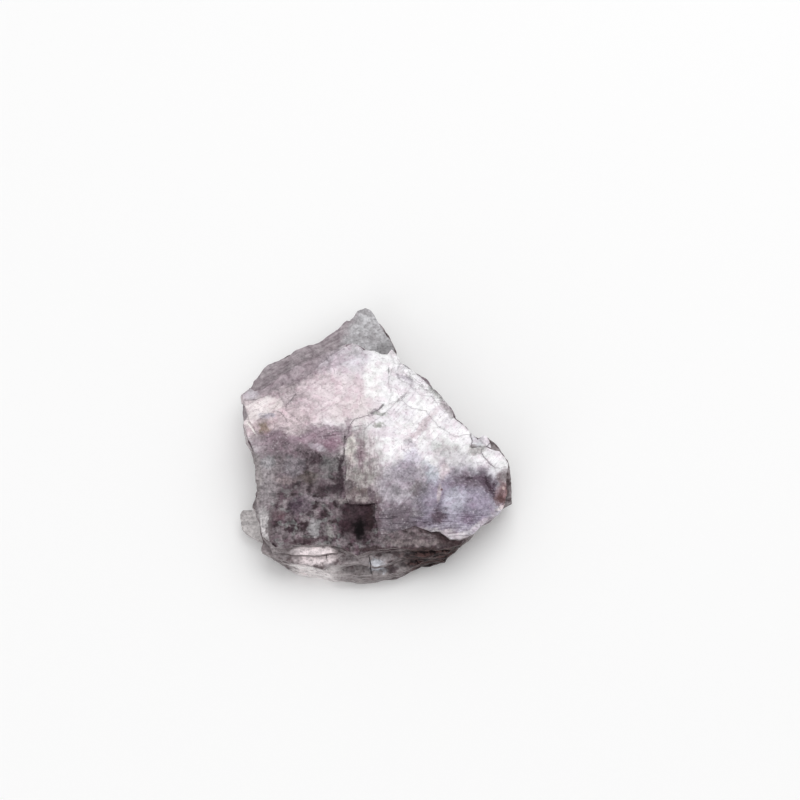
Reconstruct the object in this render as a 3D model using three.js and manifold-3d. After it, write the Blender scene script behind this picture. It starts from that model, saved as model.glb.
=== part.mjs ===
// Mica crystal: one broken book of lilac mica, lying on its flat underside.
// A book is a stack of cleavage leaves grown together as one crystal. Its rim is the broken
// ends of the leaves, and each terrace on top is a place where the upper leaves have come away.
//
// Millimetres, +Z up. The origin is the centre of the underside's bounding rectangle.
// +Y points to the thin tongue, +X to the rounded lobe.

import * as THREE from "three";
import { mergeVertices } from "three/addons/utils/BufferGeometryUtils.js";
import Module from "manifold-3d";

const wasm = await Module();
wasm.setup();

// ---- Driving dimensions ----------------------------------------------------------------

const FOOT_TOP = 1.7; // the lowest leaves, broken back under the book
const LOWER_TOP = 4.4; // the front terrace
const MIDDLE_TOP = 7.3; // the tongue and the band beside it
const DARK_TOP = 9.8; // the mottled terrace on the left
const PEARL_TOP = 10.8; // the bright sheet on the back and right

const LEAF_LAP = 0.05; // each leaf runs this far down into the next one, so that they join
const EDGE_STEP = 2.5; // spacing of the points along a broken edge
const EDGE_WANDER = 0.5; // how far a leaf's edge wanders from its pack's outline
const WANDER_LENGTH = 6; // distance over which it wanders
const EDGE_JAG = 0.25; // small steps along the edge
const EDGE_SPACE = 0.3; // neighbouring points on an edge stay this far apart

// ---- Broken edges, clockwise from above --------------------------------------------------
// Each run is one stretch of edge. Packs of leaves share a run where they broke together.

const tongue = [
  [-9.5, 29.5], [-7.5, 32.5], [-6.5, 32.5], [-5, 35.5], [-3, 36.5],
  [-1.5, 35.5], [0.5, 32], [2, 30], [3.5, 27], [4.5, 24],
];
const bandEdge = [
  [-32, 10.5], [-30.5, 14.5], [-28, 18.5], [-24, 21], [-20, 24], [-16, 25.5], [-12.5, 27.5],
];
const darkBackEdge = [
  [-33, 8.5], [-31, 10.5], [-25.5, 13], [-22, 16], [-18.5, 18], [-15, 20], [-10.5, 22.5], [-7, 24],
];
const pearlBackEdge = [
  [-32.5, 6.5], [-30, 8], [-24.5, 10.5], [-17.5, 13.5], [-14, 17], [-11, 20.5], [-7.5, 23],
];
const tongueRoot = [
  [-6, 24.5], [-4, 23.5], [-2.5, 22], [1.5, 20.5], [3, 20], [4, 21.5],
];
const rightBreak = [
  [5, 20], [6, 18], [10, 15.5], [12.5, 13.5], [16, 9], [18.5, 5.5], [19.5, 3], [22, 1], [23.5, -1.5],
];
const cornerFacets = [
  [25, -3], [26, -2], [27.5, -2.5], [28, -4], [28, -6], [30, -7], [31.5, -8.5], [32, -10.5],
];
const cornerBelow = [
  [25.5, -2], [27.5, -1.5], [29.5, -3.5], [31.5, -6], [32.5, -8.5], [32.5, -12],
];
const lobeEnd = [
  [31.5, -14], [31.5, -17.5], [31, -20], [30, -24],
];
const lobeFront = [
  [27.5, -25.5], [25.5, -27], [24, -29], [22.5, -30.5],
];
// Below the sheet the leaves broke back further and further, so the lobe overhangs them.
const lobeEndDark = [
  [31.5, -14], [31.5, -17], [31.2, -19], [30.3, -21.3],
];
const lobeEndMiddle = [
  [33, -15], [33, -18.5], [30.5, -19.8], [28, -20.8],
];
const lobeEndLower = [
  [32.6, -14.5], [31.5, -17], [29.8, -18.2], [28, -19.2],
];
const lobeFrontDark = [
  [28, -22.8], [26.4, -24], [25, -25.4], [24, -27], [22.8, -28.6], [21.4, -30.2],
];
const lobeFrontMiddle = [
  [26, -22], [24.5, -23.6], [23, -25.6], [21, -27.6], [20.5, -29.5],
];
const lobeFrontLower = [
  [26.4, -20.3], [25, -21.7], [23.9, -23.2], [22.4, -25], [20.4, -26.3],
];
const lobeFracture = [
  [20.5, -31.5], [18, -31], [15, -29.5], [13, -29], [9.5, -27],
];
const windowEdge = [
  [7, -28], [4.5, -29], [1.5, -30], [0.5, -28], [0, -24], [0, -20.5], [-3, -21], [-6, -21],
  [-7.5, -18.5], [-7.5, -5], [-7, -2.5], [-10, -1.5], [-12.5, -2], [-15, -3.5], [-18.5, -4],
  [-21.5, -5], [-24.5, -3.5], [-27.5, -3.5],
];
const pearlLeftEdge = [
  [-29, -3.5], [-30.5, 0], [-31.5, 2.5],
];
const leftEdge = [
  [-27, -29], [-27.5, -24.5], [-29, -21], [-28.5, -16], [-29, -8.5], [-30, -5], [-32, -1.5],
  [-32.5, 1.5], [-32, 4],
];
const darkFrontEdge = [
  [20.5, -31.5], [17.5, -32.5], [4.5, -32.5], [-1, -33.5], [-4, -34], [-7.5, -32.5],
  [-11, -31.5], [-23.5, -32],
];
const middleFrontEdge = [
  [19.6, -31], [17.5, -32.8], [6, -34], [3.5, -35], [0, -36], [-3, -35], [-9, -36], [-11, -35.5],
  [-12, -36.5], [-18, -36], [-23.5, -34], [-27, -31.5],
];
const lowerFrontEdge = [
  [20, -28.4], [18.2, -30.6], [16.6, -32.6], [13.5, -33.5], [9, -35], [5.5, -36.8], [0, -37.8],
  [-4.5, -38.2], [-6, -37.8], [-10, -37.8], [-15.5, -36.6], [-21, -34.5], [-24.5, -32.3], [-27, -29.5],
];

// The tongue's tip is thin: the leaves below it stop short.
const tongueStump = [...tongue.slice(0, 2), ...tongue.slice(-3)];

// ---- Outlines ----------------------------------------------------------------------------

const lowerOutline = [
  ...bandEdge, ...tongueStump, ...rightBreak, ...cornerBelow, ...lobeEndLower, ...lobeFrontLower,
  ...lowerFrontEdge, ...leftEdge,
];
const middleOutline = [
  ...bandEdge, ...tongue, ...rightBreak, ...cornerBelow, ...lobeEndMiddle, ...lobeFrontMiddle,
  ...middleFrontEdge, ...leftEdge,
];
const darkOutline = [
  ...darkBackEdge, ...tongueRoot, ...rightBreak, ...cornerFacets, ...lobeEndDark, ...lobeFrontDark,
  ...darkFrontEdge, ...leftEdge,
];
const pearlOutline = [
  ...pearlBackEdge, ...tongueRoot, ...rightBreak, ...cornerFacets, ...lobeEnd, ...lobeFront,
  ...lobeFracture, ...windowEdge, ...pearlLeftEdge,
];

// Single leaves whose ends show past their neighbours.
const greyFlakeOutline = [
  [-25, -19.5], [-32, -19.5], [-32.5, -20.5], [-32, -24], [-30, -27], [-28.5, -28], [-25, -29],
];
const backChipOutline = [
  [-27, 6.5], [-33, 7.5], [-33, 9.5], [-31, 11.5], [-29.5, 11], [-27, 9.5],
];
const frontStepOutline = [
  [-8, -30], [-26, -30], [-24.5, -32.5], [-18.5, -34], [-12, -34], [-9, -33.5],
];

// A pack is leaves that broke along one outline, drawn in from its runs by the last number.
const packs = [
  { base: 0, top: FOOT_TOP, leaves: 2, outline: lowerOutline, drawnIn: 0.8 },
  { base: FOOT_TOP, top: LOWER_TOP, leaves: 3, outline: lowerOutline, drawnIn: 0.2 },
  { base: LOWER_TOP, top: MIDDLE_TOP, leaves: 3, outline: middleOutline, drawnIn: 0 },
  { base: MIDDLE_TOP, top: DARK_TOP, leaves: 3, outline: darkOutline, drawnIn: 0 },
  { base: DARK_TOP, top: PEARL_TOP, leaves: 2, outline: pearlOutline, drawnIn: 0.3 },
  { base: 2.9, top: 3.6, leaves: 1, outline: greyFlakeOutline, drawnIn: 0 },
  { base: 8.6, top: 9.9, leaves: 1, outline: backChipOutline, drawnIn: 0 },
  { base: MIDDLE_TOP, top: 8.6, leaves: 1, outline: frontStepOutline, drawnIn: 0 },
];

// ---- How an edge breaks --------------------------------------------------------------------

// A repeatable number from 0 to 1 for each set of three whole numbers.
function hash(i, j, k) {
  const mixed = Math.sin(i * 127.1 + j * 311.7 + k * 74.7) * 43758.5453;
  return mixed - Math.floor(mixed);
}

// Smooth noise from -1 to 1 over the plane, different for each leaf.
function wander(x, y, leaf) {
  const i = Math.floor(x);
  const j = Math.floor(y);
  const u = THREE.MathUtils.smoothstep(x - i, 0, 1);
  const v = THREE.MathUtils.smoothstep(y - j, 0, 1);
  const near = THREE.MathUtils.lerp(hash(i, j, leaf), hash(i + 1, j, leaf), u);
  const far = THREE.MathUtils.lerp(hash(i, j + 1, leaf), hash(i + 1, j + 1, leaf), u);
  return 2 * THREE.MathUtils.lerp(near, far, v) - 1;
}

// Points about every EDGE_STEP along a closed outline.
function steppedPoints(outline) {
  const corners = outline.map(([x, y]) => new THREE.Vector2(x, y));
  return corners.flatMap((corner, i) => {
    const next = corners[(i + 1) % corners.length];
    const steps = Math.max(1, Math.round(corner.distanceTo(next) / EDGE_STEP));
    return Array.from({ length: steps }, (_, n) => corner.clone().lerp(next, n / steps));
  });
}

// One leaf's own outline: its pack's outline drawn in, wandering and jagged.
function leafShape(outline, drawnIn, leaf) {
  const points = steppedPoints(outline);
  const broken = points.map((point, i) => {
    const before = points.at(i - 1);
    const after = points[(i + 1) % points.length];
    const along = after.clone().sub(before).normalize();
    const inward = new THREE.Vector2(along.y, -along.x);
    const drift = wander(point.x / WANDER_LENGTH, point.y / WANDER_LENGTH, leaf) * EDGE_WANDER;
    const jag = (2 * hash(i, leaf, 5) - 1) * EDGE_JAG;
    return point.clone().addScaledVector(inward, drawnIn + drift + jag);
  });
  return new THREE.Shape(broken.filter((point, i) => point.distanceTo(broken.at(i - 1)) > EDGE_SPACE));
}

// ---- Solids ----------------------------------------------------------------------------------

function toSolid(geometry) {
  const bare = geometry.clone().deleteAttribute("normal").deleteAttribute("uv");
  const merged = mergeVertices(bare, 1e-4);
  return new wasm.Manifold(
    new wasm.Mesh({
      numProp: 3,
      vertProperties: merged.attributes.position.array,
      triVerts: new Uint32Array(merged.index.array),
    }),
  );
}

function toGeometry(solid) {
  const mesh = solid.getMesh();
  const geometry = new THREE.BufferGeometry();
  geometry.setAttribute("position", new THREE.BufferAttribute(mesh.vertProperties, 3));
  geometry.setIndex(new THREE.BufferAttribute(mesh.triVerts, 1));
  geometry.computeVertexNormals();
  return geometry;
}

function leafSolid(shape, base, top) {
  const geometry = new THREE.ExtrudeGeometry(shape, { depth: top - base, bevelEnabled: false });
  return toSolid(geometry.translate(0, 0, base));
}

function bookSolid() {
  const leaves = [];
  packs.forEach(({ base, top, leaves: count, outline, drawnIn }) => {
    const thickness = (top - base) / count;
    for (let n = 0; n < count; n++) {
      const foot = base + n * thickness;
      const shape = leafShape(outline, drawnIn, leaves.length);
      leaves.push(leafSolid(shape, Math.max(0, foot - LEAF_LAP), foot + thickness));
    }
  });
  return leaves.reduce((book, leaf) => book.add(leaf));
}

// ---- The part --------------------------------------------------------------------------------

const mica = new THREE.MeshStandardMaterial({
  color: 0xb9adb8,
  roughness: 0.38,
  metalness: 0.25,
  flatShading: true,
});

const book = new THREE.Mesh(toGeometry(bookSolid()), mica);
book.name = "mica_book";

// The origin sits under the middle of the bounding box.
book.geometry.computeBoundingBox();
const middle = book.geometry.boundingBox.getCenter(new THREE.Vector3());
book.position.set(-middle.x, -middle.y, 0);

const crystal = new THREE.Group();
crystal.add(book);

export default crystal;
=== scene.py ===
import math
import random

import bpy
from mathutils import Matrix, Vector


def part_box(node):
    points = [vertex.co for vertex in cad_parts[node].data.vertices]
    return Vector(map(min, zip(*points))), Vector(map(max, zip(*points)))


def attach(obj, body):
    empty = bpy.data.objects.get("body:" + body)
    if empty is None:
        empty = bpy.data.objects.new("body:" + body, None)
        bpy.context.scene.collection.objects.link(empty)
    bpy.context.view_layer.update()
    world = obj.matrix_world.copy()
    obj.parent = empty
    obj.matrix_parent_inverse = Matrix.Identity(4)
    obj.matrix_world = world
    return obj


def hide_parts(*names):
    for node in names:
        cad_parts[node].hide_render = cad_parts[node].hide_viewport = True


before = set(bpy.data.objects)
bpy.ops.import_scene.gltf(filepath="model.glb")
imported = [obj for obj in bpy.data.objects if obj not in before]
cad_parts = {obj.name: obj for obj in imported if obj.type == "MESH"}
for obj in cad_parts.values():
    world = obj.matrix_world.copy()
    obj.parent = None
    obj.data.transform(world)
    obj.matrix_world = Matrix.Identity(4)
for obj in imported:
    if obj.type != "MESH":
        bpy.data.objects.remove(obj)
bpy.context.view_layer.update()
bpy.ops.object.select_all(action="DESELECT")

# ---- The leaves ----------------------------------------------------------------------------
# A book of mica is hundreds of cleavage leaves grown together. Each one here is a slice of the
# solid, parted along a jagged edge of its own, and the upper ones have broken away in part.

MM = 0.001
LOW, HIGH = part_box("mica_book")


def make_active(piece):
    """Select one object alone and make it the active one."""
    bpy.ops.object.select_all(action="DESELECT")
    piece.select_set(True)
    bpy.context.view_layer.objects.active = piece


def new_piece(name, mesh):
    piece = bpy.data.objects.new(name, mesh)
    bpy.context.collection.objects.link(piece)
    make_active(piece)
    return piece


def edit(select="SELECT"):
    """Go into edit mode with everything, or nothing, selected."""
    bpy.ops.object.mode_set(mode="EDIT")
    bpy.ops.mesh.select_all(action=select)


def leave_edit():
    bpy.ops.object.mode_set(mode="OBJECT")


# The solid's own loose triangles are merged before anything is sliced from them.
whole = new_piece("whole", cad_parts["mica_book"].data.copy())
edit()
bpy.ops.mesh.remove_doubles(threshold=1e-6)
leave_edit()

# A broken edge wanders with a noise. Leaves far apart in the noise break in unlike ways.
EDGE_PIECE = 0.62 * MM  # the longest straight piece along a broken edge
EDGE_DRIFT = 1.4 * MM  # how strongly an edge wanders
FAMILY_STEP = 17 * MM


def cloud(name, size, depth):
    """A three-dimensional noise that a Displace modifier reads."""
    texture = bpy.data.textures.new(name, "CLOUDS")
    texture.noise_scale = size
    texture.noise_depth = depth
    return texture


drift = {"X": cloud("drift across", 4.2 * MM, 3), "Y": cloud("drift along", 4.6 * MM, 3)}


def modify(kind, **settings):
    """Add a modifier to the active piece and apply it."""
    modifier = bpy.context.object.modifiers.new(kind.lower(), kind)
    for setting, value in settings.items():
        setattr(modifier, setting, value)
    bpy.ops.object.modifier_apply(modifier=modifier.name)


def raise_piece(rise):
    edit()
    bpy.ops.transform.translate(value=(0, 0, rise))
    leave_edit()


def break_edges(piece, family):
    """Halve a flat outline's long edges, and let them wander as family says."""
    while True:
        edit("DESELECT")
        bpy.ops.mesh.select_mode(type="EDGE")
        leave_edit()
        for line in piece.data.edges:
            start, end = [piece.data.vertices[i].co for i in line.vertices]
            line.select = (end - start).length > EDGE_PIECE
        if not any(line.select for line in piece.data.edges):
            break
        bpy.ops.object.mode_set(mode="EDIT")
        bpy.ops.mesh.subdivide(number_cuts=1)
        leave_edit()
    rise = family - piece.data.vertices[0].co.z
    raise_piece(rise)
    for direction, texture in drift.items():
        modify(
            "DISPLACE",
            texture=texture,
            direction=direction,
            strength=EDGE_DRIFT,
            mid_level=0.5,
        )
    raise_piece(-rise)


OPEN_CELL = 0.55 * MM  # the mesh of an open face, fine enough to bend
SLAB_MARGIN = 1.1  # how far the trimming block reaches past the book


def thicken(rise):
    """Make a closed solid of the active piece's flat faces, by drawing them up or down."""
    edit()
    bpy.ops.mesh.extrude_region_move(TRANSFORM_OT_translate={"value": (0, 0, rise)})
    bpy.ops.mesh.select_all(action="SELECT")
    bpy.ops.mesh.normals_make_consistent(inside=False)
    leave_edit()


def open_slab(base, top):
    """A flat block whose faces are a fine grid, to cut an open leaf from."""
    size = [SLAB_MARGIN * (HIGH[axis] - LOW[axis]) for axis in (0, 1)]
    cells = [round(length / OPEN_CELL) for length in size]
    bpy.ops.mesh.primitive_grid_add(
        x_subdivisions=cells[0], y_subdivisions=cells[1], size=1, location=(0, 0, base)
    )
    slab = bpy.context.object
    slab.scale = (size[0], size[1], 1)
    bpy.ops.object.transform_apply()
    thicken(top - base)
    return slab


LAP = 0.02 * MM  # each leaf sinks this far into the one below
SPARE = 0.2 * MM  # how much thicker an open leaf is made, before its faces are trimmed


def flat_piece(name, outline, z):
    """One flat face with that outline, (x, y) in mm."""
    mesh = bpy.data.meshes.new(name)
    mesh.from_pydata([(x * MM, y * MM, z) for x, y in outline], [], [range(len(outline))])
    return new_piece(name, mesh)


def combine(first, other, operation):
    """Join, cut or intersect two solids into the first one."""
    make_active(first)
    modify("BOOLEAN", operation=operation, object=other, solver="MANIFOLD")
    bpy.data.objects.remove(other)


def leaf(base, top, family, sliced_at, breaks=(), scale=None, is_open=False):
    """One leaf from base to top, with the outline that the book has where it is sliced.
    family is the height in the noise that its edge is broken by. Each break is a point (x, y)
    in mm and the bearing in degrees that the rest is lost towards. A scale is the outline of
    the small part of a leaf that is left."""
    piece = new_piece("leaf", whole.data.copy())
    edit()
    bpy.ops.mesh.bisect(
        plane_co=(0, 0, sliced_at),
        plane_no=(0, 0, 1),
        use_fill=True,
        clear_inner=True,
        clear_outer=True,
        threshold=1e-8,
    )
    for (x, y), bearing in breaks:
        turn = math.radians(bearing)
        bpy.ops.mesh.select_all(action="SELECT")
        bpy.ops.mesh.bisect(
            plane_co=(x * MM, y * MM, sliced_at),
            plane_no=(math.cos(turn), math.sin(turn), 0),
            clear_outer=True,
            threshold=1e-8,
        )
    leave_edit()
    break_edges(piece, family)
    sunk = max(0, base - LAP)
    spare = SPARE if is_open else 0
    raise_piece(sunk - spare - sliced_at)
    thicken(top - sunk + 2 * spare)
    if scale:
        part = flat_piece("scale", scale, sunk - 2 * spare)
        break_edges(part, family + FAMILY_STEP / 2)
        thicken(top - sunk + 4 * spare)
        combine(piece, part, "INTERSECT")
    if is_open:
        combine(piece, open_slab(sunk, top), "INTERSECT")
    return piece


# The lower leaves reach across the whole book. They lie in packs, and the top leaf of a pack
# is open where the pack above has come away.
PACK_TOPS = (1.7, 4.4, 7.3, 9.3)
THICKNESSES = (0.2, 0.26, 0.34, 0.42, 0.55)
NEW_FAMILY_SHARE = 0.4  # how many leaves break unlike the one below
draw = random.Random(11)
leaves = []
base = 0.0
family = 0.0
for pack_top in PACK_TOPS:
    while base < pack_top:
        top = base + draw.choice(THICKNESSES)
        if top > pack_top - min(THICKNESSES) / 2:
            top = pack_top
        if draw.random() < NEW_FAMILY_SHARE:
            family += FAMILY_STEP
        middle = (base + top) / 2 * MM
        leaves.append(leaf(base * MM, top * MM, family + middle, middle, is_open=top == pack_top))
        base = top

# The mottled terrace is three broken leaves: on the left, behind and on the right. They leave an
# oblong gap in front, and dip towards it.
TERRACE_BASE, TERRACE_TOP = 9.3, 9.8
TERRACE_SLICE = 9.5  # the height where the solid has the terrace's outline
GAP_LEFT, GAP_RIGHT, GAP_BACK = -7.6, 0.4, -19.4
GAP_DIP = 0.42  # how far the terrace dips, in mm like the rest


def smooth_step(value, start, end):
    """0 at start, 1 at end, smooth between and level beyond."""
    part = min(1, max(0, (value - start) / (end - start)))
    return part * part * (3 - 2 * part)


def bend_top(piece, top, rule):
    """Lower the open face of a leaf by what the rule says for each place, all in mm."""
    for vertex in piece.data.vertices:
        if abs(vertex.co.z - top * MM) < 1e-7:
            vertex.co.z -= rule(vertex.co.x / MM, vertex.co.y / MM) * MM


def terrace_dip(x, y):
    left, right = smooth_step(x, -13, -8), 1 - smooth_step(x, -2, 0.6)
    return GAP_DIP * left * right * smooth_step(y, -18, -21)


for breaks in ([((GAP_LEFT, 0), 0)], [((0, GAP_BACK), -90)], [((GAP_RIGHT, 0), 180)]):
    family += FAMILY_STEP
    piece = leaf(
        TERRACE_BASE * MM, TERRACE_TOP * MM, family, TERRACE_SLICE * MM, breaks, is_open=True
    )
    bend_top(piece, TERRACE_TOP, terrace_dip)
    leaves.append(piece)

# On the left the bright sheet bends down to the terrace, instead of breaking off.
SLOPE_BASE, SLOPE_TOP = 9.4, 10.56
SLOPE_BREAKS = [((GAP_LEFT, 0), 0), ((0, -13.5), -84)]


def slope_fall(x, y):
    return 0.9 * smooth_step(y, -1.5, -13) + 0.4 * smooth_step(y, 0, 5)


family += FAMILY_STEP
slope = leaf(
    SLOPE_BASE * MM, SLOPE_TOP * MM, family, TERRACE_SLICE * MM, SLOPE_BREAKS, is_open=True
)
bend_top(slope, SLOPE_TOP, slope_fall)
leaves.append(slope)

# The bright sheet is three whole leaves, with the scales of broken ones lying on it.
# Each is from, to, and the outline of the scale.
SHEET_SLICE = 10.5  # the height where the solid has the sheet's outline
LEFT_SCALE = [
    (-13, -3), (-8, -0.6), (-2.4, 0.3), (0.4, 3.4), (4, 6.5), (6, 9), (8, 30), (-30, 30), (-22, 6),
]
RIGHT_SCALE = [
    (1, 30), (4.6, 18.5), (3, 13), (4.4, 10), (3.2, 7), (6.5, 8.2), (9, 6), (12.5, 5.8),
    (15, 1), (19.5, -1.4), (30, -1), (30, 20),
]
CORNER_SCALE = [
    (25.8, -7.2), (26.1, -5.2), (27.7, -5), (30.2, -6), (34, -9), (34, -11.4), (29, -10.5),
    (27.1, -8.6),
]
CORNER_CHIP = [(25.6, 0), (28.4, -3), (27.1, -4.9), (26.4, -4), (24.6, -1.2)]
LEFT_CHIP = [(-31.4, 3), (-28.5, -2.3), (-25.8, -2), (-24.4, 1.2), (-25.4, 3.6), (-29.5, 4.6)]
BACK_SCALE = [
    (3, 30), (6, 19), (5, 16), (6.2, 13.6), (8.3, 12.6), (11, 9.7), (14, 9), (17, 4.6), (30, 6),
    (30, 30),
]
TOP_SCALE = [(4, 30), (8.6, 17), (8, 14.6), (10.6, 12.8), (13.4, 10.8), (30, 16)]
SHEET = [
    (9.8, 10.1, None),
    (10.1, 10.36, None),
    (10.36, 10.5, None),
    (10.5, 10.6, LEFT_SCALE),
    (10.5, 10.64, RIGHT_SCALE),
    (10.5, 10.68, CORNER_SCALE),
    (10.5, 10.64, CORNER_CHIP),
    (10.5, 10.74, LEFT_CHIP),
    (10.64, 10.72, BACK_SCALE),
    (10.72, 10.8, TOP_SCALE),
]
for base, top, scale in SHEET:
    family += FAMILY_STEP
    piece = leaf(base * MM, top * MM, family, SHEET_SLICE * MM, scale=scale, is_open=True)
    leaves.append(piece)
bpy.data.objects.remove(whole)

book = leaves[0]
for other in leaves[1:]:
    combine(book, other, "UNION")
book.name = "mica_book_leaves"
book.data.name = book.name

# ---- Cracks ---------------------------------------------------------------------------------
# Fine cracks run through the top leaves where the book was struck, and two deeper ones through
# the front. Each is a thin wedge cut out of the solid along a bent line.

# Points (x, y) in mm, the width in the middle, the height it is cut from, and how deep it goes.
CRACKS = [
    ([(-19.7, 10.4), (-20.6, 8.6), (-21.9, 7.2), (-22, 5.3)], 0.12, 10.9, 0.5),
    ([(-24.6, 5.4), (-23.4, 5.1), (-22.4, 3.9), (-21.4, 1.9)], 0.12, 10.9, 0.5),
    (
        [(-1.4, 4.2), (-3.4, 3.4), (-5.2, 2.9), (-6.3, 1), (-6.6, -0.8), (-7.3, -2.4)]
        + [(-7.6, -4.3)],
        0.16, 10.9, 0.6,
    ),
    ([(2.2, 7.2), (0.9, 5.6), (-0.7, 4.7), (-2.2, 4.5)], 0.26, 10.9, 0.6),
    ([(-12.6, -1.2), (-10.6, -0.9), (-9.7, -0.2), (-7.5, -0.8)], 0.12, 10.9, 0.7),
    ([(-6.1, 0.6), (-4.2, 1), (-2.2, 1.4)], 0.16, 10.9, 0.5),
    ([(3.6, 7), (6, 7.6), (7.4, 9.4)], 0.14, 10.9, 0.4),
    ([(23.6, 0.2), (23.3, -1.6), (23.7, -2.9), (23.3, -4.6)], 0.24, 10.9, 0.7),
    ([(22.9, -3.9), (24, -4.8), (25.3, -4.5), (26.5, -5.1)], 0.24, 10.9, 0.6),
    ([(26.1, -4.8), (27.2, -4.7), (28.2, -5.3), (29.2, -5.4), (30.6, -6.2)], 0.36, 10.9, 0.9),
    ([(28.8, -2.6), (27.7, -4), (26.9, -5.1)], 0.26, 10.9, 0.7),
    (
        [(26.1, -5), (25.8, -6.3), (26.3, -7.5), (27.2, -8.4), (27.9, -9.4), (29.5, -10.7)],
        0.2, 10.9, 0.6,
    ),
    ([(-1.6, -31.5), (-1.1, -34), (-0.7, -36), (0, -38.2)], 0.24, 8, 4),
    ([(-11.8, -31.5), (-11.5, -33), (-11.2, -34.6)], 0.2, 8, 1.5),
]
for line, width, cut_from, depth in CRACKS:
    points = [Vector(point) for point in line]
    left, right = [], []
    for before, point, after in zip(points, points[1:], points[2:]):
        along = (after - before).normalized()
        side = Vector((-along.y, along.x)) * width / 2
        left.append(point + side)
        right.append(point - side)
    crack = flat_piece("crack", [points[0], *right, points[-1], *reversed(left)], cut_from * MM)
    thicken(-depth * MM)
    combine(book, crack, "DIFFERENCE")

# ---- The lie of the leaves --------------------------------------------------------------------
# The leaves aren't quite flat: the lobe and the corners droop, the sheet is creased, and every
# open face is gently uneven. The underside stays flat.

# Each point keeps its height in the flat stack, in mm, so that a finish can follow the leaves.
height = book.data.attributes.new("height", "FLOAT", "POINT")
height.data.foreach_set("value", [vertex.co.z / MM for vertex in book.data.vertices])

# Faces that look up or down are cleavage, and the rest are broken edges. The slots come before
# the faces are sorted, and the two finishes are laid in them later.
CLEAVAGE, BROKEN = 0, 1
LEVEL_NORMAL = 0.7
book.data.materials.clear()
for _ in (CLEAVAGE, BROKEN):
    book.data.materials.append(None)
for face in book.data.polygons:
    face.material_index = CLEAVAGE if abs(face.normal.z) > LEVEL_NORMAL else BROKEN

# Where the book droops: (x, y) in mm, how far around, and how far down at the top.
DROOPS = [
    ((32, -22), 16, 1.6),
    ((24, 6), 12, 0.7),
    ((-27, -30), 15, 0.9),
    ((-33, 6), 9, 0.9),
    ((-28, 14), 11, 0.5),
    ((-3, 38), 14, 0.5),
    ((8, -38), 14, 0.5),
]
# Creases along the sheet: points (x, y), half the width, and how far down. A negative one is
# a ridge.
CREASES = [
    ([(20, -12.5), (23, -11.6), (25.6, -12.2), (27.6, -13.8), (29, -17.4)], 2.2, 0.8),
    ([(17.5, -21), (22, -19), (27, -20)], 5, -0.6),
    ([(16.4, -17), (15.2, -21), (15.5, -25)], 1.8, 0.35),
    ([(15.2, 6), (12, 1.5), (8.2, -3.4)], 1.1, 0.12),
    ([(-2, -6), (-2.4, -12)], 1.6, 0.2),
    ([(12.6, -13), (11, -17.5)], 1.8, 0.3),
    ([(-31, 4.5), (-29, -0.5)], 1.4, 0.3),
]
# Where the leaves above the terrace thin out: points (x, y), how far around, and by what share.
# They are thinnest over the nearer half of that reach.
THINNINGS = [
    ([(-7, -21), (-1, -21), (0, -28), (8, -29)], 9, 0.97),
    ([(-7.6, -11), (-7.6, -20)], 7, 0.95),
]
THINNEST = 1.8
# The face roughens below the bright sheet, which stays smoother than the terrace.
SMOOTH_ABOVE, ROUGH_BELOW = 10.4, 10.1
SHEET_ROUGHNESS = 0.45


def nearness(point, line, reach):
    """1 on a bent line, falling smoothly to 0 at that reach, in mm."""
    away = reach
    for start, end in zip(line, line[1:]):
        start, along = Vector(start), Vector(end) - Vector(start)
        share = min(1, max(0, (point - start).dot(along) / along.length_squared))
        away = min(away, (point - start - along * share).length)
    return smooth_step(away, reach, 0)


bend = book.vertex_groups.new(name="bend")
rough = book.vertex_groups.new(name="rough")
for vertex in book.data.vertices:
    share = vertex.co.z / HIGH.z
    place = Vector((vertex.co.x / MM, vertex.co.y / MM))
    below_sheet = smooth_step(vertex.co.z / MM, SMOOTH_ABOVE, ROUGH_BELOW)
    roughness = SHEET_ROUGHNESS + (1 - SHEET_ROUGHNESS) * below_sheet
    over_terrace = vertex.co.z - TERRACE_TOP * MM
    if over_terrace > 0:
        for line, reach, lost in THINNINGS:
            over_terrace *= 1 - lost * min(1, THINNEST * nearness(place, line, reach))
        vertex.co.z = TERRACE_TOP * MM + over_terrace
    bend.add([vertex.index], share, "REPLACE")
    rough.add([vertex.index], share * roughness, "REPLACE")
    for centre, reach, depth in DROOPS:
        away = (place - Vector(centre)).length
        vertex.co.z -= share * depth * MM * smooth_step(away, reach, 0)
    for line, reach, depth in CREASES:
        vertex.co.z -= share * depth * MM * nearness(place, line, reach)

# Broad swells, ripples and a fine grain: the noise, how strong it is, and where it acts.
make_active(book)
RELIEF = [
    (cloud("swell", 15 * MM, 0), 0.9 * MM, "bend"),
    (cloud("ripple", 3.6 * MM, 1), 0.3 * MM, "bend"),
    (cloud("grain", 1.5 * MM, 2), 0.22 * MM, "rough"),
]
for texture, strength, group in RELIEF:
    modify(
        "DISPLACE",
        texture=texture,
        direction="Z",
        strength=strength,
        mid_level=1,
        vertex_group=group,
    )

# The jagged edges reach a little past the solid, so the book is drawn in to the solid's box.
points = [vertex.co.copy() for vertex in book.data.vertices]
lowest = [min(point[axis] for point in points) for axis in range(3)]
highest = [max(point[axis] for point in points) for axis in range(3)]
for vertex, point in zip(book.data.vertices, points):
    for axis in range(3):
        part = (point[axis] - lowest[axis]) / (highest[axis] - lowest[axis])
        vertex.co[axis] = LOW[axis] + part * (HIGH[axis] - LOW[axis])
modify("TRIANGULATE")
EDGE_ANGLE = math.radians(32)  # a sharper turn than this is a crisp edge
bpy.ops.object.shade_smooth_by_angle(angle=EDGE_ANGLE)

# ---- The cleavage finish ---------------------------------------------------------------------
# Lithium mica is silvery lilac, with a pearly sheen on fresh leaves. Where the top leaves have
# come away the older face below is a mottled plum grey.


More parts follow.
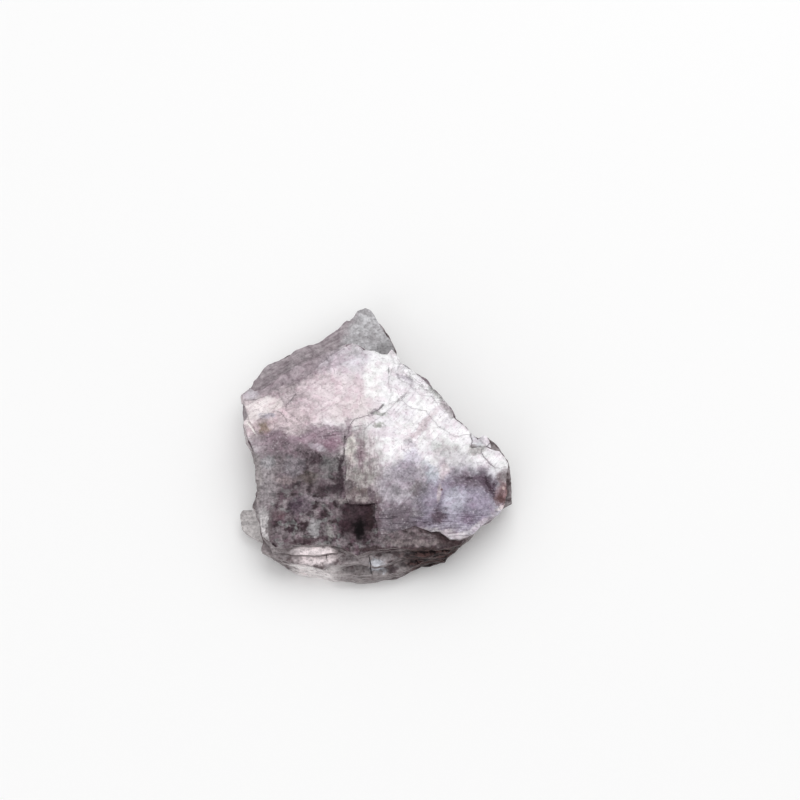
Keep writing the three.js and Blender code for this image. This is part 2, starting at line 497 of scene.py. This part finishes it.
class Value:
    """A number or colour that varies over the surface. Arithmetic on it adds Math nodes."""

    def __init__(self, finish, socket):
        self.finish = finish
        self.socket = socket

    def math(self, operation, first, second):
        return self.finish.node("ShaderNodeMath", {"operation": operation}, {0: first, 1: second})

    def __add__(self, other):
        return self.math("ADD", self, other)

    def __sub__(self, other):
        return self.math("SUBTRACT", self, other)

    def __rsub__(self, other):
        return self.math("SUBTRACT", other, self)

    def __mul__(self, other):
        return self.math("MULTIPLY", self, other)

    __radd__ = __add__
    __rmul__ = __mul__


def tone(red, green, blue):
    """A screen colour from 0 to 255 as the shader wants it."""
    parts = [part / 255 for part in (red, green, blue)]
    return tuple(p / 12.92 if p <= 0.04045 else ((p + 0.055) / 1.055) ** 2.4 for p in parts) + (1,)


class Finish:
    """A material made from nodes, on coordinates in mm from the middle of the underside. Its
    ragged coordinates wander by about a millimetre, and give a patch of tone an uneven edge."""

    RAGGED_SIZE, RAGGED_REACH = 1.8, 3.4
    SCRATCH = 0.5  # a narrower patch than this keeps a clean edge
    SOFTNESS = 0.5  # how far in and out from its outline a patch fades, as a share of its size

    def __init__(self, name):
        self.material = bpy.data.materials.new(name)
        self.material.use_nodes = True
        self.tree = self.material.node_tree
        self.shader = self.tree.nodes["Principled BSDF"]
        in_metres = self.node("ShaderNodeTexCoord", output="Object")
        self.place = self.vector("SCALE", in_metres, Scale=1 / MM)
        self.x = self.node("ShaderNodeSeparateXYZ", None, {0: self.place}, "X")
        self.y = self.node("ShaderNodeSeparateXYZ", None, {0: self.place}, "Y")
        self.height = self.node("ShaderNodeAttribute", {"attribute_name": "height"}, output="Fac")
        drift_x = self.noise(self.RAGGED_SIZE, 3, 0.6, seed=3) - 0.5
        drift_y = self.noise(self.RAGGED_SIZE, 3, 0.6, seed=8) - 0.5
        self.ragged_x = self.x + drift_x * self.RAGGED_REACH
        self.ragged_y = self.y + drift_y * self.RAGGED_REACH

    def node(self, kind, settings=None, inputs=None, output=0):
        made = self.tree.nodes.new(kind)
        for name, value in (settings or {}).items():
            setattr(made, name, value)
        for name, value in (inputs or {}).items():
            self.feed(made.inputs[name], value)
        return Value(self, made.outputs[output])

    def feed(self, socket, value):
        if isinstance(value, Value):
            self.tree.links.new(value.socket, socket)
        else:
            socket.default_value = value

    def vector(self, operation, first, second=(0, 0, 0), **inputs):
        inputs = {0: first, **inputs} if inputs else {0: first, 1: second}
        return self.node("ShaderNodeVectorMath", {"operation": operation}, inputs)

    def fade(self, value, start, end):
        """0 at start, 1 at end, smooth between."""
        ends = {"Value": value, "From Min": start, "From Max": end}
        return self.node("ShaderNodeMapRange", {"interpolation_type": "SMOOTHSTEP"}, ends)

    def noise(self, size, detail=2.0, rough=0.5, seed=0, place=None):
        """Noise from 0 to 1, mostly near a half, with lumps of that size in mm."""
        moved = self.vector("ADD", place or self.place, (37.0 * seed, 11.0 * seed, 5.0 * seed))
        inputs = {"Vector": moved, "Scale": 1 / size, "Detail": detail, "Roughness": rough}
        return self.node("ShaderNodeTexNoise", None, inputs)

    def streaks(self, bearing, width, length, seed=0):
        """Noise drawn out along a bearing in degrees."""
        mapping = {"Vector": self.place, "Rotation": (0, 0, -math.radians(bearing))}
        turned = self.node("ShaderNodeMapping", None, mapping)
        shrunk = self.vector("MULTIPLY", turned, (1 / length, 1 / width, 1 / width))
        return self.noise(1, 3, 0.6, seed, place=shrunk)

    def mix(self, mask, colour, other):
        """The first colour where the mask is 0 and the other where it is 1."""
        return self.node("ShaderNodeMix", {"data_type": "RGBA"}, {0: mask, 6: colour, 7: other}, 2)

    def textured(self, colour, texture, low, high):
        """The colour made darker or lighter by a texture, between those two factors."""
        factor = self.fade(texture, 0.3, 0.7) * (high - low) + low
        return self.vector("SCALE", colour, Scale=factor)

    def shade(self, amount, colour, other):
        """The colour multiplied by the other one, as far as the amount says."""
        settings = {"data_type": "RGBA", "blend_type": "MULTIPLY"}
        return self.node("ShaderNodeMix", settings, {0: amount, 6: colour, 7: other}, 2)

    def patch(self, x, y, across, along, turn=0):
        """1 inside an ellipse on the plan and 0 well outside it. Its middle and half its widths
        are in mm, and its turn in degrees."""
        cos, sin = math.cos(math.radians(turn)), math.sin(math.radians(turn))
        if min(across, along) < self.SCRATCH:
            off_x, off_y = self.x - x, self.y - y
        else:
            off_x, off_y = self.ragged_x - x, self.ragged_y - y
        right = off_x * (cos / across) + off_y * (sin / across)
        up = off_y * (cos / along) - off_x * (sin / along)
        outer, inner = (1 + self.SOFTNESS) ** 2, (1 - self.SOFTNESS) ** 2
        return self.fade(right * right + up * up, outer, inner)

    def stain(self, colour, patches):
        """Lay soft patches on a colour, each with its place in mm, its tone and its strength."""
        for x, y, across, along, turn, patch_tone, strength in patches:
            mask = self.patch(x, y, across, along, turn) * strength
            colour = self.mix(mask, colour, tone(*patch_tone))
        return colour


# Clouds and streaks of the sizes that mica shows, which all of its faces share.
cleavage = Finish("cleavage")
c = cleavage
mottle = c.noise(1.3, 3, 0.62, seed=1)
blotch = c.noise(2.6, 4, 0.68, seed=7)
speck = c.noise(0.55, 1, 0.5, seed=2)
plum = c.noise(2.0, 2, 0.55, seed=9)
ashen = c.noise(1.8, 2, 0.55, seed=13)
upright = c.streaks(90, 0.8, 3.5, seed=1)
slanting = c.streaks(33, 0.5, 5, seed=2)
steep = c.streaks(53, 0.5, 4, seed=3)
level = c.streaks(2, 0.4, 5, seed=4)

# Faint hairlines part the leaves into plates, and the back rim of the sheet into small chips.
PLATE_SIZE, CHIP_SIZE = 9, 1.9
EDGES = {"feature": "DISTANCE_TO_EDGE"}
wander = c.node("ShaderNodeTexNoise", None, {"Vector": c.place, "Scale": 0.4}, 1)
warped = c.vector("ADD", c.place, c.vector("SCALE", wander, Scale=4.0))
plates = c.node("ShaderNodeTexVoronoi", EDGES, {"Vector": warped, "Scale": 1 / PLATE_SIZE})
hairline = c.fade(plates, 0.02, 0.0) * c.fade(blotch, 0.48, 0.62)
chips = c.node("ShaderNodeTexVoronoi", EDGES, {"Vector": warped, "Scale": 1 / CHIP_SIZE})
chips = c.fade(chips, 0.1, 0.0)

# The bright sheet is white in the middle and to the right, pinkish on the left, bluish below, and
# plum grey where it bends down on the lower left. The white and the plum grey are partly the
# sheet's own colour and partly painted glare and painted shade.
# Each stain is its middle (x, y), half its widths and its turn, then its tone and strength.
PEARL = [
    (-19, 9, 15, 8, 20, (203, 187, 193), 0.9),
    (-20, 15.5, 14, 2.6, 33, (176, 163, 170), 0.9),
    (-8, 20, 6, 3, 25, (190, 182, 190), 0.8),
    (-4.6, 17.6, 5, 3, 25, (228, 223, 231), 0.85),
    (-24, 9.5, 6, 2.5, 20, (186, 174, 178), 0.7),
    (-23, 3, 8, 3.5, 0, (206, 190, 194), 0.8),
    (-29, 6.4, 4.4, 2.8, 8, (250, 242, 242), 0.95),
    (-31, 4, 2, 3, 0, (238, 228, 229), 0.8),
    (-31, 10.6, 1.8, 1.4, 0, (228, 224, 232), 0.95),
    (-31, 8.9, 1.9, 0.16, 8, (120, 108, 114), 0.8),
    (-24.2, 7.4, 1.6, 1.4, 0, (232, 222, 222), 0.8),
    (-27.2, 15.4, 1.1, 1.5, 20, (232, 232, 226), 0.8),
    (-26.3, 3.9, 1.8, 0.8, 0, (176, 172, 186), 0.7),
    (-27.5, 0.5, 2.4, 2.8, -40, (190, 174, 176), 0.8),
    (-29.9, 0.3, 0.22, 2.6, 32, (252, 246, 242), 0.9),
    (-27.1, -2.3, 0.9, 0.24, 10, (244, 236, 230), 0.8),
    (-31, -0.6, 0.9, 2.6, 32, (206, 190, 193), 0.7),
    (-27, -0.2, 1.1, 1.7, 20, (154, 138, 122), 0.8),
    (-18, -4, 12, 3.6, 2, (132, 116, 124), 0.95),
    (-16, -1.2, 10, 2.2, 4, (156, 138, 148), 0.9),
    (-18, -9.6, 14, 4, 0, (118, 106, 112), 0.95),
    (-9.8, -3.9, 2.2, 1.5, 20, (146, 116, 132), 0.7),
    (-19.4, -0.2, 3, 1.2, 10, (206, 194, 196), 0.7),
    (-21.6, -3, 1.2, 1.4, 0, (118, 102, 110), 0.6),
    (-11, -1.6, 2.6, 0.25, 8, (96, 78, 88), 0.6),
    (-13.9, -4.8, 1.9, 0.7, -10, (192, 184, 192), 0.7),
    (-8, 10, 7, 6, 30, (236, 224, 228), 0.8),
    (-5, 5, 5, 3.4, 10, (226, 214, 216), 0.7),
    (0.9, 1.4, 1.1, 0.8, 8, (146, 148, 142), 0.85),
    (-0.4, 4.6, 1.8, 0.5, 35, (156, 142, 152), 0.7),
    (-6.2, 0.8, 0.7, 2, 10, (150, 126, 140), 0.6),
    (1, 4.4, 1.4, 0.5, 0, (186, 188, 184), 0.8),
    (1.6, 6.5, 0.3, 0.8, -40, (136, 134, 136), 0.7),
    (6.5, 9, 0.3, 1.5, -42, (160, 152, 158), 0.7),
    (3.3, 16.6, 0.2, 1, 0, (150, 150, 152), 0.7),
    (7.4, 14, 2.2, 0.8, -30, (176, 168, 178), 0.7),
    # A pure white streak: painted glare.
    (-0.6, 14.5, 2, 5, 0, (255, 255, 255), 0.9),
    (11.6, 1.4, 0.8, 4.8, -40, (214, 200, 205), 0.8),
    (9.9, 2.6, 0.8, 4.6, -40, (254, 252, 253), 0.8),
    (13.6, 0.4, 0.9, 4.6, -40, (254, 252, 253), 0.8),
    (8.5, -3.4, 1.2, 1, -40, (190, 188, 194), 0.8),
    (9.2, -7.5, 2, 2.4, 10, (208, 202, 216), 0.8),
    (7.4, -12, 2.8, 3.2, 10, (182, 176, 192), 0.8),
    (12.5, -10.6, 1.1, 2.4, 15, (222, 224, 232), 0.85),
    (17, -5, 3.4, 2.2, 0, (204, 206, 204), 0.7),
    (15.5, 10.6, 2.6, 1.1, -50, (166, 166, 164), 0.8),
    (18.5, 5.6, 3.4, 1.1, -48, (176, 170, 172), 0.8),
    (8, -16, 10, 6, 4, (158, 150, 159), 0.9),
    (6, -24.5, 8.6, 4, 0, (108, 98, 106), 0.95),
    (4, -20.6, 4, 1, -4, (150, 138, 148), 0.6),
    (10.6, -22.6, 1.6, 1.2, 0, (146, 144, 142), 0.7),
    (8, -27.6, 8, 0.9, 4, (134, 126, 128), 0.8),
    (10.8, -16.6, 1.8, 2.4, 10, (112, 108, 108), 0.8),
    (14, -12.6, 1.4, 2.6, 15, (208, 212, 222), 0.8),
    (-3.6, -10, 4.4, 9, 0, (178, 171, 171), 0.9),
    (-5.8, -5, 1, 3.4, 0, (208, 204, 199), 0.85),
    (-3.3, -7, 0.9, 3.8, 2, (160, 143, 150), 0.85),
    (-0.9, -4.6, 0.9, 3.6, 0, (228, 220, 223), 0.8),
    (-4, -13, 3.4, 2.4, 0, (164, 160, 157), 0.8),
    (-6.4, -15.8, 2, 2, 0, (96, 84, 88), 0.85),
    (-3.4, -16.6, 1.8, 0.9, 0, (132, 121, 117), 0.8),
    (-3.8, -18.8, 4.6, 2.2, 0, (126, 115, 116), 0.9),
    (-4.4, -18.2, 2.2, 0.5, -12, (164, 156, 155), 0.6),
    (-1, -17.4, 0.8, 1.8, 0, (112, 98, 106), 0.8),
    (-4, -20.6, 4.6, 1.1, 0, (74, 60, 66), 0.9),
    (0.8, -22.4, 0.8, 4.4, 0, (110, 94, 101), 0.8),
    (19, -9, 4, 3, 0, (190, 184, 190), 0.6),
    (25, -3, 1.6, 1.4, -30, (206, 208, 212), 0.8),
    (24.8, -5.6, 2.2, 1, 20, (176, 174, 172), 0.8),
    (23.6, -4.7, 0.7, 0.5, 30, (120, 112, 112), 0.8),
    # Dark spot between the corner plates: painted shade in the gap.
    (29.4, -4.4, 1, 0.6, -45, (78, 68, 70), 0.9),
    (21.5, -20, 10, 8, 25, (146, 138, 156), 0.92),
    (19, -19.5, 2.4, 3.4, -20, (196, 195, 208), 0.75),
    (22.6, -24, 1.6, 1.4, 0, (126, 112, 130), 0.6),
    (16.6, -11.4, 1, 2, -20, (222, 212, 216), 0.7),
    (25, -19.5, 2.2, 2, 0, (156, 146, 164), 0.7),
    (15.4, -23.6, 1.6, 2, 10, (88, 72, 82), 0.85),
    # The dark arc along the lobe's crease is partly the lobe's own plum colour and partly painted
    # shade in the crease.
    (23.9, -13.7, 4.8, 2, -12, (122, 110, 121), 0.85),
    (23.6, -12.9, 3, 0.6, -6, (84, 70, 82), 0.8),
    (19.4, -14.9, 1.3, 1, 30, (120, 110, 120), 0.7),
    (27.2, -14.4, 1.4, 3.4, 25, (104, 90, 102), 0.8),
    (27.6, -14.8, 0.6, 2.6, 28, (66, 52, 62), 0.9),
    (31.2, -13, 1.6, 2, 0, (136, 126, 128), 0.9),
    (31.4, -17.4, 2, 3, 0, (140, 112, 114), 0.95),
    (30.4, -18.6, 1, 1.2, 0, (88, 60, 60), 0.8),
    (31, -15.6, 0.3, 0.35, 0, (224, 204, 198), 0.7),
    (30.6, -20.6, 1.2, 0.6, 30, (226, 216, 216), 0.8),
    # Thin pale lines along the lobe's lower edge: painted highlights where the leaf edges catch the
    # light.
    (19, -28.6, 6, 0.7, -14, (204, 198, 200), 0.7),
    (25, -25.6, 4.4, 0.6, 38, (206, 200, 206), 0.7),
    (15.5, -17.2, 0.45, 2.2, -6, (220, 210, 207), 0.45),
    (16.1, -16.2, 0.26, 0.26, 0, (112, 82, 78), 0.8),
    (8.2, -18, 0.24, 1.9, -35, (192, 190, 196), 0.5),
    (6.6, -19.2, 0.2, 1.7, -35, (188, 186, 193), 0.5),
]
# The near-white base is the sheet's pale colour with painted glare in it.
broad = c.fade(c.noise(6, 2, seed=5), 0.42, 0.6) * 0.8
pearl = c.mix(broad, tone(253, 252, 254), tone(241, 237, 242))
pearl = c.stain(pearl, PEARL)
# The palest faces are the calmest.
calm = c.fade(c.node("ShaderNodeRGBToBW", None, {"Color": pearl}), 0.4, 0.85)
pearl = c.shade(c.fade(plum, 0.46, 0.64) * 0.5, pearl, tone(236, 222, 229))
pearl = c.shade(c.fade(ashen, 0.48, 0.66) * 0.5, pearl, tone(222, 224, 221))
pearl = c.textured(pearl, mottle * 0.8 + speck * 0.2, calm * 0.2 + 0.7, 1.28 - calm * 0.2)
pearl = c.textured(pearl, blotch, calm * 0.14 + 0.78, 1.2 - calm * 0.14)
pearl = c.shade(c.fade(slanting, 0.5, 0.66) * c.fade(c.x, 0, -8) * 0.35, pearl, tone(208, 194, 202))
pearl = c.shade(c.fade(steep, 0.52, 0.66) * c.fade(c.x, 0, 6) * 0.4, pearl, tone(206, 202, 208))
pearl = c.shade(c.fade(level, 0.5, 0.64) * c.fade(c.y, -20, -24) * 0.8, pearl, tone(170, 162, 170))
# Beside the gap the sheet gets upright darker streaks: painted sheen broken into bands.
beside_gap = c.patch(-3, -12, 5, 12)
pearl = c.shade(c.fade(upright, 0.46, 0.66) * beside_gap * 0.6, pearl, tone(186, 174, 180))
pearl = c.shade(chips * c.patch(13, 12, 9, 1.6, -42) * 0.6, pearl, tone(160, 158, 158))
pearl = c.shade(hairline * 0.45, pearl, tone(150, 140, 146))

# The terrace is mottled, with dark blotches and bluish grey ones. Some of its marks are painted
# shade, wholly or in part: in the dipped gap, along the front cliff, under the sheet's front edge
# and between the corner plates.
TERRACE_MARKS = [
    (-27, -12, 3.4, 8, 0, (160, 153, 156), 0.75),
    (-26, -8.5, 1.4, 1.6, 0, (160, 158, 162), 0.6),
    (-15, -13, 8, 5, 0, (92, 82, 86), 0.4),
    (-19.6, -9.5, 2.4, 3, 0, (140, 134, 140), 0.55),
    (-15, -7.2, 3, 1.3, -25, (68, 55, 61), 0.75),
    (-11, -9.4, 2.2, 1.8, 0, (122, 122, 122), 0.55),
    (-16, -12.6, 2.2, 1.3, 0, (84, 76, 70), 0.6),
    (-21.7, -13.4, 2.6, 0.9, -5, (162, 147, 149), 0.5),
    (-28.4, -13, 0.9, 6, 0, (146, 140, 140), 0.7),
    (-8.2, -9, 0.6, 6, 0, (50, 38, 44), 0.85),
    (-9.8, -16, 2.6, 1.1, 0, (48, 36, 42), 0.8),
    (-14.8, -18.4, 3.4, 0.5, -8, (154, 142, 149), 0.75),
    (-7.4, -18.9, 1.4, 0.6, 10, (150, 142, 142), 0.8),
    (-18, -20.4, 2.6, 2.2, 0, (82, 70, 82), 0.55),
    (-23, -22.5, 1.3, 1.2, 0, (98, 74, 80), 0.6),
    (-14.3, -26.5, 1.3, 2, 0, (160, 158, 160), 0.75),
    (-10.6, -27.6, 0.7, 2, 0, (150, 148, 146), 0.6),
    (-20.2, -26.4, 0.7, 0.6, 0, (54, 40, 46), 0.8),
    (-15.4, -23, 0.8, 0.8, 0, (56, 44, 50), 0.8),
    (-16, -29.6, 4.6, 0.6, 4, (78, 60, 66), 0.7),
    (-26.8, -25.6, 1.9, 4.2, 0, (192, 188, 189), 0.85),
    (-24.8, -25.4, 0.6, 4.2, 0, (76, 62, 66), 0.7),
    # The dipped gap is partly the terrace's own dark plum and partly painted shade, near black at
    # its deepest.
    (-4, -23.6, 4.2, 5.6, 0, (50, 34, 40), 0.9),
    (-3.5, -26.4, 1.3, 2.9, 0, (4, 1, 2), 0.97),
    (-1, -24, 0.8, 3.6, 0, (44, 30, 32), 0.7),
    (12, -30.4, 8, 0.6, 0, (132, 122, 122), 0.7),
    # Dark lines along the front cliff and under the sheet's front edge: painted shade.
    (8, -32, 12, 0.7, 0, (66, 52, 54), 0.9),
    (15, -28.2, 6, 0.7, -23, (58, 44, 46), 0.85),
    (18.4, -30.4, 3.6, 1.3, -15, (60, 46, 48), 0.85),
    (32.8, -14, 2.4, 6, 0, (172, 138, 136), 0.85),
    # Dark spot between the corner plates: painted shade in the gap.
    (29.8, -4.6, 2, 1.8, 0, (74, 62, 64), 0.85),
]
broad = c.fade(c.noise(3, 3, 0.6, seed=12), 0.38, 0.6)
terrace = c.mix(broad, tone(56, 44, 48), tone(132, 122, 126))
terrace = c.mix(c.fade(plum, 0.48, 0.6) * 0.5, terrace, tone(112, 92, 102))
terrace = c.mix(c.fade(ashen, 0.54, 0.66) * 0.5, terrace, tone(136, 138, 137))
# In front it is browner and smoother.
cloudy = c.fade(level, 0.4, 0.62) * 0.5 + c.fade(blotch, 0.4, 0.62) * 0.5
smooth = c.mix(cloudy, tone(88, 75, 78), tone(130, 119, 122))
terrace = c.mix(c.patch(13, -28.8, 10, 2.4, 4) * 0.7, terrace, smooth)
terrace = c.stain(terrace, TERRACE_MARKS)
terrace = c.textured(terrace, mottle, 0.7, 1.3)
terrace = c.textured(terrace, upright, 0.86, 1.14)
terrace = c.textured(terrace, speck, 0.82, 1.18)

# The tongue is ash grey and matt, and the band beside it mauve, with streaks along the edge.
ash = c.mix(c.fade(blotch, 0.4, 0.62), tone(168, 165, 168), tone(200, 199, 202))
ash = c.mix(c.patch(3, 24, 3, 3) * 0.7, ash, tone(144, 142, 144))
ash = c.textured(ash, mottle * 0.6 + speck * 0.4, 0.76, 1.22)
cloudy = c.fade(slanting, 0.3, 0.68) * 0.6 + c.fade(blotch, 0.4, 0.62) * 0.4
mauve = c.mix(cloudy, tone(136, 124, 130), tone(176, 167, 171))
mauve = c.textured(mauve, mottle, 0.76, 1.24)
ash = c.mix(c.fade(c.ragged_x - c.ragged_y * 0.3, -18, -14), mauve, ash)
# Behind, the terrace takes the band's mauve, darkened by painted shade beside the sheet's edge.
terrace = c.mix(c.fade(c.y, 2, 7), terrace, c.shade(0.4, mauve, tone(200, 188, 196)))
terrace = c.mix(c.patch(-33, 4, 2.8, 6) * 0.85, terrace, tone(214, 204, 206))

# The front ledges are brown and grey, and the thin leaf on the left is pale.
broad = c.fade(c.noise(2.2, 3, 0.6, seed=12), 0.38, 0.6)
low = c.fade(c.height, 7.2, 6.4)
ledge = c.mix(broad, tone(98, 86, 88), tone(156, 148, 150))
# Under the lobe the front cliff is painted dark: painted shade under the overhang.
cliff_shade = c.mix(c.fade(mottle, 0.46, 0.58), tone(34, 22, 23), tone(88, 66, 64))
ledge = c.mix(c.patch(15.4, -32.2, 8, 2.5, 8) * 0.95, ledge, cliff_shade)
ledge = c.mix(c.patch(-33, 1, 3, 9) * 0.8, ledge, tone(206, 197, 200))
ledge = c.mix(c.patch(-14.5, -35.6, 6, 2) * low * 0.9, ledge, tone(220, 214, 214))
ledge = c.mix(c.patch(2, -36, 8, 1.6) * low * 0.6, ledge, tone(152, 146, 146))
ledge = c.mix(c.patch(-14, -32.8, 4.4, 1.8) * 0.95, ledge, tone(240, 228, 230))
ledge = c.mix(c.patch(0.8, -34.6, 1.5, 1.1) * 0.85, ledge, tone(204, 206, 213))
ledge = c.mix(c.patch(4.2, -35, 1, 0.9) * 0.85, ledge, tone(78, 66, 70))
ledge = c.mix(c.patch(10, -35.6, 4, 0.8, 12) * 0.7, ledge, tone(158, 150, 150))
ledge = c.mix(c.patch(-24, -30.6, 3, 2) * 0.6, ledge, tone(160, 152, 154))
ledge = c.mix(c.fade(c.x, -25.5, -27) * c.fade(c.height, 4.2, 3.8), ledge, tone(194, 189, 189))
ledge = c.textured(ledge, mottle * 0.8 + speck * 0.2, 0.66, 1.36)

# Where the sheet bends down to the terrace, one tone breaks up into the other.
ragged_height = c.height + (mottle - 0.5) * c.fade(c.x, -6, -9) * c.fade(c.y, 6, 2) * 0.9
is_pearl = c.fade(ragged_height, 10.0, 10.3)
is_terrace = c.fade(c.height, 8.9, 9.1)
colour = c.mix(c.fade(c.y, 0, 8) * c.fade(c.height, 6.9, 7.2), ledge, ash)
colour = c.mix(is_terrace, colour, terrace)
colour = c.mix(is_pearl, colour, pearl)
# Pale specks on the sheet: painted glints of its flakes.
colour = c.mix(c.fade(speck, 0.62, 0.76) * is_pearl * 0.3, colour, tone(226, 220, 224))
colour = c.shade(c.fade(speck, 0.42, 0.28) * 0.3, colour, tone(164, 152, 160))

c.feed(c.shader.inputs["Base Color"], colour)
c.feed(c.shader.inputs["Roughness"], 0.56 - is_pearl * 0.16 + (mottle - 0.5) * 0.4)
c.feed(c.shader.inputs["Metallic"], is_pearl * 0.15)
c.shader.inputs["Specular IOR Level"].default_value = 0.08
# Each small flake of a face is tilted its own way, so the sheen breaks up.
FLAKE_SIZE = 0.8
cells = c.node("ShaderNodeTexVoronoi", None, {"Vector": c.place, "Scale": 1 / FLAKE_SIZE}, "Color")
tilt = c.vector("SCALE", c.vector("SUBTRACT", cells, (0.5, 0.5, 0.5)), Scale=0.22)
facing = c.vector("ADD", c.node("ShaderNodeNewGeometry", output="Normal"), tilt)
grain = mottle + speck * 0.3 + upright * 0.3 - hairline * 0.3
bumped = {
    "Height": grain,
    "Distance": 0.2 * MM,
    "Strength": 0.8,
    "Normal": c.vector("NORMALIZE", facing),
}
c.feed(c.shader.inputs["Normal"], c.node("ShaderNodeBump", None, bumped))

# ---- The broken edge finish --------------------------------------------------------------------
# On a broken edge the ends of the leaves show as fine lines, brown and grey, with silvery ones
# where a leaf has sprung free.

edge = Finish("broken edge")
e = edge
LINES_PER_MM = 7.0
lines = {"W": e.height, "Scale": LINES_PER_MM, "Detail": 3.0, "Roughness": 0.7}
lines = e.node("ShaderNodeTexNoise", {"noise_dimensions": "1D"}, lines)
grit = e.noise(1.5, 3, 0.6, place=e.vector("MULTIPLY", e.place, (1, 1, 3)))
rim = e.mix(e.fade(grit, 0.36, 0.64), tone(112, 100, 101), tone(170, 162, 163))
low = e.fade(e.height, 7.2, 6.4)
rim = e.mix(e.patch(-14.5, -35.6, 6, 2) * low * 0.95, rim, tone(244, 238, 238))
rim = e.mix(e.fade(e.noise(3, 2, seed=4), 0.5, 0.62) * 0.5, rim, tone(178, 171, 172))
rim = e.mix(e.patch(0, -31.2, 10, 1.8) * 0.6, rim, tone(104, 92, 94))
# The front cliff under the lobe is painted dark: painted shade under the overhang.
cliff_shade = e.mix(e.fade(grit, 0.44, 0.58), tone(32, 20, 21), tone(84, 62, 60))
rim = e.mix(e.patch(15.4, -31.8, 8.4, 2.6, 6) * 0.95, rim, cliff_shade)
rim = e.mix(e.patch(-28.6, -25.5, 1.8, 4.4) * 0.7, rim, tone(196, 190, 191))
# The wall between the corner plates is painted dark: painted shade in the gap.
rim = e.mix(e.patch(29.6, -3.4, 2, 1.6) * 0.8, rim, tone(84, 70, 72))
rim = e.textured(rim, lines, 0.62, 1.3)
thin = e.mix(e.patch(-4, -20, 6, 9), tone(206, 198, 204), tone(112, 100, 104))
thin = e.mix(e.patch(-18, -5, 13, 4), thin, tone(128, 112, 120))
rim = e.mix(e.fade(e.height, 9.9, 10.3), rim, thin)
rim = e.mix(e.patch(32.6, -16, 2.4, 4.6) * e.fade(e.height, 7, 9) * 0.8, rim, tone(152, 124, 124))
rim = e.mix(e.patch(-33, 1, 3, 9) * 0.8, rim, tone(206, 197, 200))
e.feed(e.shader.inputs["Base Color"], rim)
e.shader.inputs["Roughness"].default_value = 0.5
e.shader.inputs["Metallic"].default_value = 0.1
uneven = {"Height": lines + grit * 0.6, "Distance": 0.12 * MM, "Strength": 0.8}
e.feed(e.shader.inputs["Normal"], e.node("ShaderNodeBump", None, uneven))

book.data.materials[CLEAVAGE] = cleavage.material
book.data.materials[BROKEN] = edge.material

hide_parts("mica_book")
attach(book, "root")

# ---- Floor, light and camera -----------------------------------------------------------------
# The book lies on a plain pale floor under soft studio light, and the camera looks down at it
# steeply, from well in front.

bpy.ops.mesh.primitive_plane_add(size=3, location=(0, 0, 0))
floor = bpy.context.object
floor.name = "floor"
paper = bpy.data.materials.new("pale paper")
paper.use_nodes = True
paper.node_tree.nodes["Principled BSDF"].inputs["Base Color"].default_value = (0.97, 0.97, 0.97, 1)
paper.node_tree.nodes["Principled BSDF"].inputs["Roughness"].default_value = 0.9
floor.data.materials.append(paper)

world = bpy.data.worlds.new("studio")
world.use_nodes = True
world.node_tree.nodes["Background"].inputs["Color"].default_value = (1, 1, 1, 1)
world.node_tree.nodes["Background"].inputs["Strength"].default_value = 0.66
bpy.context.scene.world = world
bpy.context.scene.view_settings.view_transform = "Standard"

# A broad lamp behind and to the right, and a weak one in front and to the left: each with its
# place, its size and its power.
LAMPS = (((0.3, 0.62, 1.0), 1.4, 6.8), ((-0.5, -0.9, 0.35), 0.8, 3))
for place, size, power in LAMPS:
    bpy.ops.object.light_add(type="AREA", location=place)
    lamp = bpy.context.object
    lamp.data.size = size
    lamp.data.energy = power
    lamp.rotation_euler = (-lamp.location).to_track_quat("-Z", "Y").to_euler()

CAMERA_TILT = math.radians(60)
CAMERA_DISTANCE = 0.611
aim = Vector((6.1, 14.2, 0)) * MM
bpy.ops.object.camera_add()
camera = bpy.context.object
camera.data.lens = 110
camera.location = aim + CAMERA_DISTANCE * Vector((0, -math.cos(CAMERA_TILT), math.sin(CAMERA_TILT)))
camera.rotation_euler = (math.radians(90) - CAMERA_TILT, 0, 0)
camera.data.clip_start = 0.01
bpy.context.scene.camera = camera
